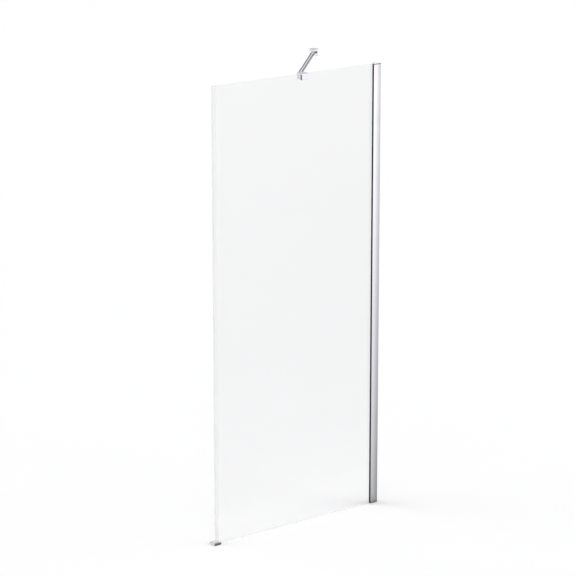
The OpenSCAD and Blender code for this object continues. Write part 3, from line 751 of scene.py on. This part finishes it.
# %% A helper that rounds chosen edges
def round_edges(piece, chosen, width, segments):
    select_only(piece)
    bpy.ops.object.mode_set(mode="EDIT")
    bpy.ops.mesh.select_mode(type="EDGE")
    bpy.ops.mesh.select_all(action="DESELECT")
    bpy.ops.object.mode_set(mode="OBJECT")
    points = piece.data.vertices
    for edge in piece.data.edges:
        edge.select = chosen(*(points[i].co for i in edge.vertices))
    picked = sum(edge.select for edge in piece.data.edges)
    bpy.ops.object.mode_set(mode="EDIT")
    bpy.ops.mesh.bevel(offset=width, segments=segments, affect="EDGES", clamp_overlap=False)
    bpy.ops.object.mode_set(mode="OBJECT")
    print(piece.name, "has", picked, "edges rounded by", width)


# %% Round the long edges of the arm
arm_turn = math.radians(45.4)  # in plan, from the pane back to the wall
arm_corner = 0.0035
edge_slack = 0.0003
long_enough = 0.3
arm_low, arm_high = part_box("arm_tube")
arm_middle = [(low + high) / 2 for low, high in zip(arm_low, arm_high)]
arm_half = (arm_high[2] - arm_low[2]) / 2


def is_outside(distance):
    return abs(abs(distance) - arm_half) < edge_slack


def across_arm(point):
    to_side = -(point.x - arm_middle[0]) * math.sin(arm_turn)
    return to_side + (point.y - arm_middle[1]) * math.cos(arm_turn)


def long_arm_edge(a, b):
    at_side = all(is_outside(across_arm(point)) for point in (a, b))
    at_level = all(is_outside(point.z - arm_middle[2]) for point in (a, b))
    return at_side and at_level and (a - b).length > long_enough


arm = merged_copy("arm_tube", "arm_square_tube")
round_edges(arm, long_arm_edge, arm_corner, 3)
bpy.ops.object.shade_smooth_by_angle(angle=smooth_below)
stand_in(arm, "arm_tube")

# %% [markdown]
# ## The cap
# The cap closes the upper end of the profile and covers the edge of the pane. It is pale
# above a rim painted near black, painted shade that shows as a fine dark line at the head of the profile.
# Its top edges are rolled at the front and on the left. A block with those edges rounded
# is laid over a copy of the node, and only what both share is kept. That rounds the rim
# and leaves the slot and the tongue inside as they are.

# %% Make the mould for the rim
mould_size = 0.060
mould_roll = 0.0008
same_place = 0.0001
cap_low, cap_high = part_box("top_cap")
mould_half = mould_size / 2

clear_selection()
bpy.ops.mesh.primitive_cube_add(size=1, location=(
    cap_low[0] + mould_half, cap_low[1] + mould_half, cap_high[2] - mould_half,
))
mould = bpy.context.object
mould.scale = (mould_size, mould_size, mould_size)
bpy.ops.object.transform_apply(location=True, rotation=True, scale=True)


def rim_edge(a, b):
    top = all(abs(point.z - cap_high[2]) < same_place for point in (a, b))
    left = all(abs(point.x - cap_low[0]) < same_place for point in (a, b))
    front = all(abs(point.y - cap_low[1]) < same_place for point in (a, b))
    return (top and (left or front)) or (left and front)


round_edges(mould, rim_edge, mould_roll, 4)

# %% Roll the rim of the cap
cap = merged_copy("top_cap", "profile_cap")
trim = cap.modifiers.new("shared_part", "BOOLEAN")
trim.operation = "INTERSECT"
trim.object = mould
trim.solver = "EXACT"
bpy.ops.object.modifier_apply(modifier=trim.name)
bpy.data.objects.remove(mould)
bpy.ops.object.shade_smooth_by_angle(angle=smooth_below)
stand_in(cap, "top_cap")

# %% [markdown]
# ## The pane
# Toughened glass is ground along its edges before it is hardened, so a narrow flat runs
# along every edge and the narrow faces are matt. They get the ground finish, and the two
# large faces stay clear and flat. The lower edge lies in the clear strip and shares its
# finish. One bevel of a single step makes all the flats at once.

# %% Grind the edges of the pane
flat_width = 0.0006
clear_face, ground_face, strip_face = 0, 1, 2

pane = merged_copy("glass_panel", "glass_pane")
arris = pane.modifiers.new("arris", "BEVEL")
arris.width = flat_width
arris.segments = 1
bpy.ops.object.modifier_apply(modifier=arris.name)
pane.data.materials.append(ground_edge)
pane.data.materials.append(soft_strip)
for face in pane.data.polygons:
    face.use_smooth = False
    looks_down = face.normal.z < -0.5
    looks_straight_out = abs(face.normal.y) > 0.99
    if looks_down:
        face.material_index = strip_face
    elif looks_straight_out:
        face.material_index = clear_face
    else:
        face.material_index = ground_face
stand_in(pane, "glass_panel")

# %% [markdown]
# ## Seals and pads
# Extruded seals and moulded pads have small round edges too. They are softened as the
# metal is, by a width that suits each piece.

# %% Soften the seals and the pads
soften_all((
    ("edge_seal", "edge_seal_strip", 0.0002),
    ("bottom_strip", "floor_seal_strip", 0.0002),
    ("front_gasket", "profile_gasket", 0.0002),
    ("clamp_insert", "clamp_liner", 0.0003),
    ("clamp_pad", "clamp_rubber_pad", 0.0003),
    ("bottom_pad", "profile_foot_pad", 0.0004),
))
